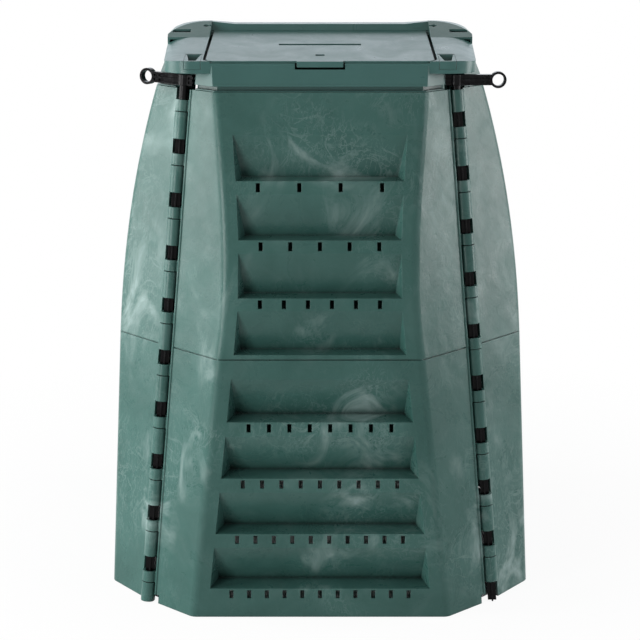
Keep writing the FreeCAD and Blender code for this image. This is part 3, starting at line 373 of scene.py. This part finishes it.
@dataclass(frozen=True)
class GreenPlastic:
    """Recycled green plastic with pale swirls, scuffs, soft waves, a fine grain, and painted shade in its
    gaps.
    """

    name: str
    slot: str
    body: Colour
    deep: Colour
    scuff: Colour
    gloss: Range
    scuff_share: float
    specular: float
    wave: float
    edge: float = 1.2 * MM
    # colour of the painted shade in narrow gaps and creases
    crevice_shade_colour: Colour = (0.006, 0.009, 0.008)
    gap: float = 18.0 * MM

    def wear(self, bench: NodeBench, place: bpy.types.NodeSocket) -> bpy.types.NodeSocket:
        """How worn a place is.

        Args:
            bench: the bench of the material.
            place: where the wear is read.

        Returns:
            The share of wear: smears, threads and scratches, in patches.
        """
        streaks = bench.noise(bench.stretched(place, SMEAR_STRETCH), SMEARS)
        smears = bench.span(streaks, SMEAR_BAND, SHARE)
        threads = bench.sum(Sum.MULTIPLY, bench.threads(place, THREADS, THREAD_HALF_BAND), THREAD_SHARE)
        scratches = bench.threads(bench.stretched(place, SCRATCH_STRETCH), SCRATCHES, SCRATCH_HALF_BAND)
        scratches = bench.sum(Sum.MULTIPLY, scratches, SCRATCH_SHARE)
        marks = bench.sum(Sum.LARGER, bench.sum(Sum.LARGER, smears, threads), scratches)
        patches = bench.span(bench.noise(place, PATCHES), PATCH_BAND, (LEAST_WEAR, self.scuff_share))
        return bench.sum(Sum.MULTIPLY, marks, patches)

    def surface(self, bench: NodeBench, place: bpy.types.NodeSocket) -> bpy.types.NodeSocket:
        """The surface direction.

        Args:
            bench: the bench of the material.
            place: where the reliefs are read.

        Returns:
            The direction with sag, orange peel, softened edges and grain.
        """
        sag = bench.bump(place, Relief(SAG, SAG_HEIGHT, self.wave))
        peel = bench.bump(place, Relief(PEEL, PEEL_HEIGHT, self.wave), sag)
        return bench.bump(place, GREEN_GRAIN, bench.soft_edge(self.edge, peel))

    def material(self) -> bpy.types.Material:
        """Builds the material.

        Returns:
            The finished material.
        """
        bench = NodeBench(self.name)
        place = bench.place()
        colour = bench.ramp(bench.noise(place, FLOW), FLOW_STOPS, self.deep, self.body)
        wear = self.wear(bench, place)
        colour = bench.blend(wear, colour, self.scuff)
        # painted shade: ambient occlusion darkens narrow gaps and creases
        colour = bench.blend(bench.painted_crevice_shade(self.gap), colour, self.crevice_shade_colour)
        shine = bench.span(bench.noise(place, SHINE), SHINE_BAND, self.gloss)
        rough = bench.sum(Sum.ADD, shine, bench.sum(Sum.MULTIPLY, wear, WEAR_DULLS))
        return bench.plastic(colour, rough, self.surface(bench, place), self.specular)


@dataclass(frozen=True)
class BlackPlastic:
    """Black plastic with sink marks and dull scuffs."""

    name: str
    slot: str
    body: Colour
    dull: Colour
    gloss: Range
    specular: float = 0.09
    edge: float = 0.7 * MM

    def material(self) -> bpy.types.Material:
        """Builds the material.

        Returns:
            The finished material.
        """
        bench = NodeBench(self.name)
        place = bench.place()
        scuffs = bench.noise(place, BLACK_SCUFFS)
        colour = bench.ramp(scuffs, BLACK_SCUFF_STOPS, self.body, self.dull)
        rough = bench.span(scuffs, BLACK_SHINE_BAND, self.gloss)
        soft = bench.soft_edge(self.edge, bench.bump(place, BLACK_SINK))
        return bench.plastic(colour, rough, bench.bump(place, BLACK_GRAIN, soft), self.specular)


WALL_GREEN = GreenPlastic("wall_green", "wall_green", body=(0.041, 0.108, 0.094),
                          deep=(0.026, 0.078, 0.067), scuff=(0.32, 0.41, 0.395), gloss=(0.21, 0.4),
                          scuff_share=0.75, specular=0.22, wave=0.7)
LID_GREEN = GreenPlastic("lid_green", "lid_green", body=(0.042, 0.112, 0.102),
                         deep=(0.032, 0.092, 0.083), scuff=(0.10, 0.16, 0.155), gloss=(0.26, 0.38),
                         scuff_share=0.3, specular=0.27, wave=0.2)
CATCH_GREEN = GreenPlastic("catch_green", "catch_green", body=(0.044, 0.115, 0.104),
                           deep=(0.034, 0.095, 0.086), scuff=(0.10, 0.16, 0.155), gloss=(0.26, 0.38),
                           scuff_share=0.3, specular=0.27, wave=0.2)
ROD_BLACK = BlackPlastic("rod_black", "rod_black", body=(0.003, 0.003, 0.0035),
                         dull=(0.012, 0.012, 0.012), gloss=(0.12, 0.3))
HANDLE_BLACK = BlackPlastic("handle_black", "handle_black", body=(0.004, 0.004, 0.0045),
                            dull=(0.018, 0.018, 0.02), gloss=(0.12, 0.3))


def dress(node: str, material: bpy.types.Material, slot: str) -> None:
    """Gives a carried-over node its finish.

    Args:
        node: the node's name.
        material: its finish.
        slot: the record's slot for that finish.
    """
    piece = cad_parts[node]
    piece.data.materials.clear()
    piece.data.materials.append(material)
    log.info("dressed %s in %s", node, slot)


@dataclass
class Walls:
    """The eight louvred walls."""

    finish: GreenPlastic = WALL_GREEN

    def build(self) -> None:
        """Dresses all walls."""
        material = self.finish.material()
        for side in Side:
            for storey in Storey:
                dress(f"{side.value}_wall_{storey.value}", material, self.finish.slot)


@dataclass
class CornerRods:
    """The four rods with their ring handles."""

    rod_finish: BlackPlastic = ROD_BLACK
    handle_finish: BlackPlastic = HANDLE_BLACK

    def build(self) -> None:
        """Dresses the rods and handles."""
        rod_material = self.rod_finish.material()
        handle_material = self.handle_finish.material()
        for corner in Corner:
            dress(f"rod_{corner.value}", rod_material, self.rod_finish.slot)
            dress(f"handle_{corner.value}", handle_material, self.handle_finish.slot)


@dataclass
class Lid:
    """The ridged lid with its flaps and catches."""

    finish: GreenPlastic = LID_GREEN
    catch_finish: GreenPlastic = CATCH_GREEN

    def build(self) -> None:
        """Dresses the lid, the flaps and the catches."""
        material = self.finish.material()
        for node in ("lid_frame", "front_flap", "back_flap"):
            dress(node, material, self.finish.slot)
        catch_material = self.catch_finish.material()
        for corner in Corner:
            dress(f"catch_{corner.value}", catch_material, self.catch_finish.slot)


@dataclass(frozen=True)
class Lamp:
    """A soft studio lamp: where it hangs, what it points at, its size in metres and its power in watts."""

    name: str
    place: Point
    aim: Point
    wide: float
    high: float
    power: float
    colour: Colour = (1.0, 1.0, 1.0)

    def hang(self) -> None:
        """Puts the lamp in the scene."""
        light = bpy.data.lights.new(self.name, "AREA")
        light.shape = "RECTANGLE"
        light.size = self.wide
        light.size_y = self.high
        light.energy = self.power
        light.color = self.colour
        lamp = bpy.data.objects.new(self.name, light)
        lamp.location = self.place
        lamp.visible_camera = False
        lamp.rotation_mode = "QUATERNION"
        lamp.rotation_quaternion = (Vector(self.aim) - Vector(self.place)).to_track_quat("-Z", "Y")
        bpy.context.scene.collection.objects.link(lamp)
        log.info("hung %s", self.name)


MIDDLE: Point = (0.0, 0.0, 0.6)

LAMPS = (
    Lamp("key_left", place=(-3.2, -0.3, 1.6), aim=MIDDLE, wide=2.4, high=3.0, power=140.0),
    Lamp("side_right", place=(3.4, 0.2, 1.4), aim=MIDDLE, wide=1.6, high=2.6, power=96.0),
    Lamp("near_left", place=(-1.6, -1.9, 0.85), aim=(-0.2, -0.3, 0.6), wide=0.8, high=1.2, power=24.0),
    Lamp("strip_left", place=(-2.6, -2.5, 1.0), aim=(-0.2, -0.35, 0.7), wide=0.3, high=1.8, power=14.0),
    Lamp("front_top", place=(0.0, -2.0, 2.9), aim=MIDDLE, wide=1.4, high=1.0, power=3.5),
    Lamp("sheen_right", place=(2.3, -1.4, 1.5), aim=(0.25, -0.3, 0.8), wide=0.5, high=0.9, power=10.0,
         colour=(0.95, 0.93, 1.0)),
    Lamp("back_top", place=(0.0, 2.6, 1.9), aim=(0.0, 0.0, 1.0), wide=2.6, high=1.2, power=9.0,
         colour=(0.7, 0.84, 1.0)),
)


@dataclass
class Studio:
    """Pale floor, white surroundings, soft lamps and the camera."""

    floor_half: float = 30.0
    floor_sides: int = 96
    floor_below: float = 0.5 * MM
    floor_colour: Colour = (0.9, 0.9, 0.9)
    floor_shade: Range = (0.93, 1.0)
    floor_reach: Range = (0.5, 1.4)
    dark_half: float = 0.385
    dark_corner: float = 0.62
    fill: float = 0.08
    white: Colour = (1.0, 1.0, 1.0)
    camera_place: Point = (0.0, -3.113, 1.293)
    camera_pitch: float = 0.262
    focal: float = 90.34
    sensor: float = 36.0
    view_end: float = 200.0
    lamps: tuple[Lamp, ...] = LAMPS

    def world(self) -> None:
        """Lights the surroundings dimly, and shows them white to the camera and in reflections."""
        world = bpy.data.worlds.new("surroundings")
        world.use_nodes = True
        bench = NodeBench.on(world.node_tree)
        strength = bench.span(bench.seen_white(), SHARE, (self.fill, 1.0))
        background = bench.add("ShaderNodeBackground", Color=opaque(self.white))
        bench.join(strength, background.inputs["Strength"])
        output = bench.add("ShaderNodeOutputWorld")
        bench.join(background.outputs["Background"], output.inputs["Surface"])
        bpy.context.scene.world = world

    def beside_body(self, bench: NodeBench, place: bpy.types.NodeSocket) -> bpy.types.NodeSocket:
        """Where the floor isn't under the body.

        Args:
            bench: the bench of the floor's material.
            place: a place on the floor.

        Returns:
            1 outside the body's eight-sided foot, 0 inside it.
        """
        sides = bench.add("ShaderNodeVectorMath", operation="ABSOLUTE")
        bench.join(place, sides.inputs[0])
        parts = bench.add("ShaderNodeSeparateXYZ")
        bench.join(sides.outputs["Vector"], parts.inputs[0])
        widest = bench.sum(Sum.LARGER, parts.outputs["X"], parts.outputs["Y"])
        both = bench.sum(Sum.ADD, parts.outputs["X"], parts.outputs["Y"])
        return bench.sum(Sum.LARGER, bench.sum(Sum.IS_OVER, widest, self.dark_half),
                         bench.sum(Sum.IS_OVER, both, self.dark_corner))

    def floor_finish(self) -> bpy.types.Material:
        """Builds the floor's material.

        Returns:
            A matt white that glows to the camera, less so near the body and not at all under it.
        """
        bench = NodeBench("floor_white")
        place = bench.place()
        matt = bench.add("ShaderNodeBsdfDiffuse", Color=opaque(self.floor_colour))
        glow = bench.add("ShaderNodeEmission", Strength=1.0)
        reach = bench.add("ShaderNodeVectorMath", operation="LENGTH")
        bench.join(place, reach.inputs[0])
        share = bench.span(reach.outputs["Value"], self.floor_reach, self.floor_shade)
        share = bench.sum(Sum.MULTIPLY, share, self.beside_body(bench, place))
        share = bench.sum(Sum.MULTIPLY, share, bench.seen_white())
        mix = bench.add("ShaderNodeMixShader")
        bench.join(share, mix.inputs[0])
        bench.join(matt.outputs[0], mix.inputs[1])
        bench.join(glow.outputs[0], mix.inputs[2])
        return bench.finish(mix.outputs[0])

    def floor(self) -> None:
        """Lays the pale floor, which keeps the object's shadow and stays dark under the object."""
        mesh = bpy.data.meshes.new("floor")
        shape = bmesh.new()
        bmesh.ops.create_circle(shape, cap_ends=True, radius=self.floor_half, segments=self.floor_sides)
        shape.to_mesh(mesh)
        shape.free()
        floor = bpy.data.objects.new("floor", mesh)
        floor.location = (0.0, 0.0, -self.floor_below)
        bpy.context.scene.collection.objects.link(floor)
        mesh.materials.append(self.floor_finish())

    def camera(self) -> None:
        """Stands the camera in front of the bin, looking a little down."""
        camera = bpy.data.objects.new("camera", bpy.data.cameras.new("camera"))
        camera.data.sensor_width = self.sensor
        camera.data.lens = self.focal
        camera.location = self.camera_place
        camera.rotation_euler = (math.pi / 2 - self.camera_pitch, 0.0, 0.0)
        camera.data.clip_end = self.view_end
        bpy.context.scene.collection.objects.link(camera)
        bpy.context.scene.camera = camera

    def build(self) -> None:
        """Sets up the whole studio."""
        bpy.context.scene.view_settings.view_transform = "Standard"
        self.world()
        self.floor()
        self.camera()
        for lamp in self.lamps:
            lamp.hang()


def main() -> None:
    """Builds the sub-assemblies in order and reports each piece."""
    logging.basicConfig(level=logging.INFO, format="%(name)s: %(message)s")
    Studio().build()
    Walls().build()
    CornerRods().build()
    Lid().build()


if __name__ == "__main__":
    main()
